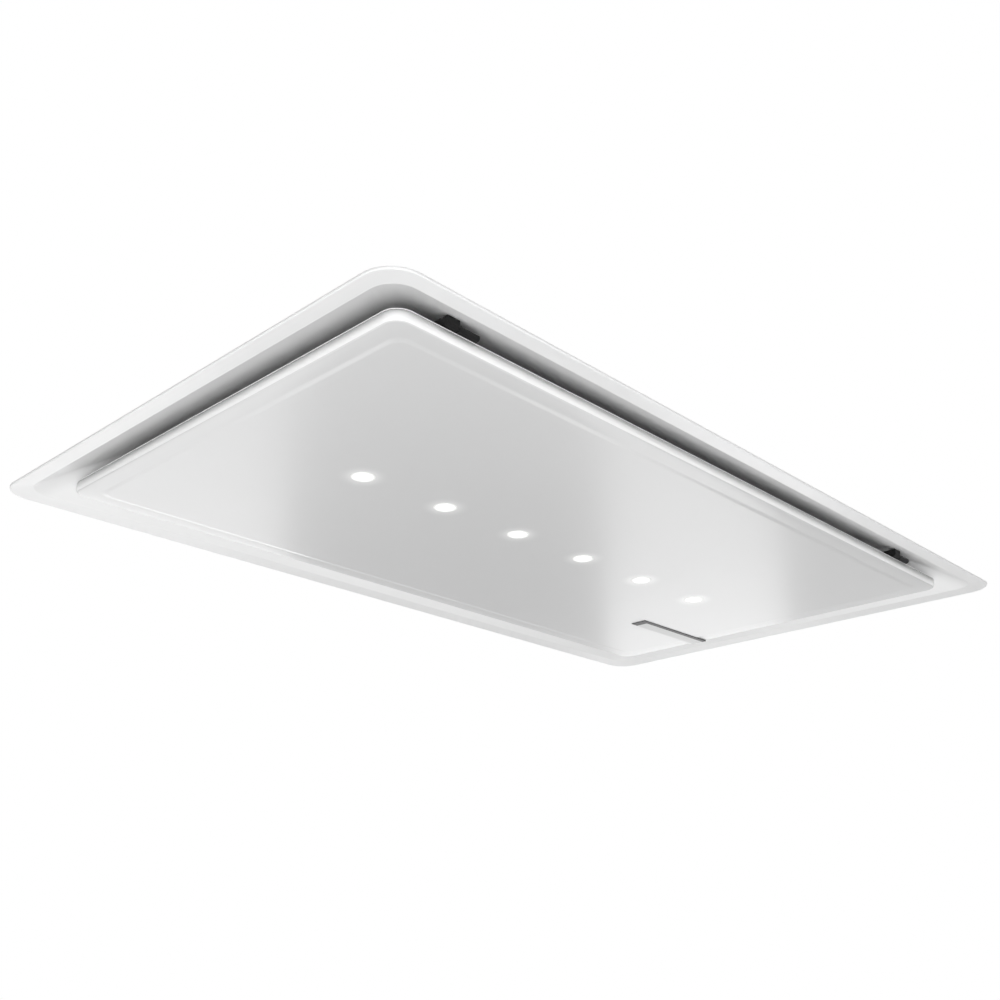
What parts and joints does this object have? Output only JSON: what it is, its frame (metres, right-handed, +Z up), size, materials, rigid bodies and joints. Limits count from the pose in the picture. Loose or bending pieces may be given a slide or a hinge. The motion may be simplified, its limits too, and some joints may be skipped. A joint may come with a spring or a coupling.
{
  "type": "ceiling range hood",
  "caption": "Ceiling-mounted kitchen extractor hood: white rim and funnel, hinged flat cover panel with round lights, grease filters, blower and side duct outlet.",
  "frame": {"origin": "centre of the rim in the plane of the ceiling's lower face, where the ceiling seal meets it", "axes": "+Z up into the ceiling, +X along the hood's long side towards the duct outlet, -Y towards the panel's hinge side"},
  "size_m": [1.2, 0.712, 0.3378],
  "materials": {
    "white_paint": "white powder coat, satin",
    "dark_foam": "dark grey closed-cell foam",
    "zinc_sheet": "galvanised sheet with a faint spangle",
    "white_plastic": "white moulded plastic",
    "light_source": "yellow phosphor on a chip",
    "lit_diffuser": "frosted diffuser, lit",
    "brushed_strip": "brushed metal, dark band along one edge",
    "black_metal": "black powder coat",
    "steel": "zinc-plated steel",
    "magnet": "nickel-plated magnet",
    "black_plastic": "black moulded plastic",
    "grey_plastic": "grey moulded plastic",
    "cast_aluminium": "die-cast motor body",
    "rubber": "black rubber buffer",
    "board_green": "circuit board with solder mask",
    "filter_aluminium": "anodised aluminium frame",
    "filter_mesh": "layers of expanded aluminium mesh"
  },
  "bodies": {
    "hood": {"ceiling_frame": "white_paint", "ceiling_seal": "dark_foam", "hinge_bracket_1": "black_metal", "hinge_bracket_2": "black_metal", "hinge_pins": "steel", "catch_holders": "black_metal", "catch_magnets": "magnet", "filter_deck": "zinc_sheet", "housing_shell": "zinc_sheet", "housing_top": "zinc_sheet", "case_screws": "steel", "hanger_brackets": "zinc_sheet", "hanger_bolts": "steel", "scroll_body": "black_plastic", "scroll_cover": "black_plastic", "inlet_ring": "black_plastic", "motor": "cast_aluminium", "motor_gasket": "dark_foam", "blower_mounts": "rubber", "duct_collar": "black_plastic", "flap_pin": "steel", "control_box": "grey_plastic", "control_board": "board_green", "control_lid": "grey_plastic", "cable_gland": "black_plastic", "gland_nut": "black_plastic", "light_driver": "white_plastic", "filter_meshes": "filter_mesh", "filter_frame_1": "filter_aluminium", "latch_spring_1": "steel", "filter_frame_2": "filter_aluminium", "latch_spring_2": "steel", "filter_frame_3": "filter_aluminium", "latch_spring_3": "steel"},
    "panel": {"panel_face": "white_paint", "panel_tray": "white_paint", "panel_gasket": "dark_foam", "panel_ribs": "zinc_sheet", "light_lens_1": "lit_diffuser", "light_lens_2": "lit_diffuser", "light_lens_3": "lit_diffuser", "light_lens_4": "lit_diffuser", "light_lens_5": "lit_diffuser", "light_lens_6": "lit_diffuser", "light_cups": "white_plastic", "light_chips": "light_source", "name_strip": "brushed_strip", "hinge_arm_1": "black_metal", "hinge_arm_2": "black_metal", "hinge_screws": "steel", "strike_plates": "steel"},
    "wheel": {"blower_wheel": "grey_plastic", "wheel_ring": "grey_plastic", "wheel_blades": "grey_plastic", "motor_shaft": "steel"},
    "left_flap": {"flap_left": "grey_plastic"},
    "right_flap": {"flap_right": "grey_plastic"},
    "latch_1": {"filter_latch_1": "black_plastic"},
    "latch_2": {"filter_latch_2": "black_plastic"},
    "latch_3": {"filter_latch_3": "black_plastic"}
  },
  "joints": [
    {"name": "panel_hinge", "type": "hinge", "parent": "hood", "child": "panel", "pos_m": [0, -0.298, 0.0103], "axis": [-1, 0, 0], "range_deg": [0, 90]},
    {"name": "fan_spin", "type": "hinge", "parent": "hood", "child": "wheel", "pos_m": [0.18, 0.1, 0.2], "axis": [0, 0, 1], "continuous": true},
    {"name": "left_flap_hinge", "type": "hinge", "parent": "hood", "child": "left_flap", "pos_m": [0.518, -0.005, 0.21], "axis": [0, 0, -1], "range_deg": [0, 75], "stiffness_Nm_per_rad": 0.004, "springref_deg": -20.05},
    {"name": "right_flap_hinge", "type": "hinge", "parent": "hood", "child": "right_flap", "pos_m": [0.518, -0.005, 0.21], "axis": [0, 0, 1], "range_deg": [0, 75], "stiffness_Nm_per_rad": 0.004, "springref_deg": -20.05},
    {"name": "latch_slide_1", "type": "slide", "parent": "hood", "child": "latch_1", "axis": [0, 1, 0], "range_m": [0, 0.005], "stiffness_N_per_m": 300, "springref_m": -0.004, "deforming": ["latch_spring_1"]},
    {"name": "latch_slide_2", "type": "slide", "parent": "hood", "child": "latch_2", "axis": [0, 1, 0], "range_m": [0, 0.005], "stiffness_N_per_m": 300, "springref_m": -0.004, "deforming": ["latch_spring_2"]},
    {"name": "latch_slide_3", "type": "slide", "parent": "hood", "child": "latch_3", "axis": [0, 1, 0], "range_m": [0, 0.005], "stiffness_N_per_m": 300, "springref_m": -0.004, "deforming": ["latch_spring_3"]}
  ]
}
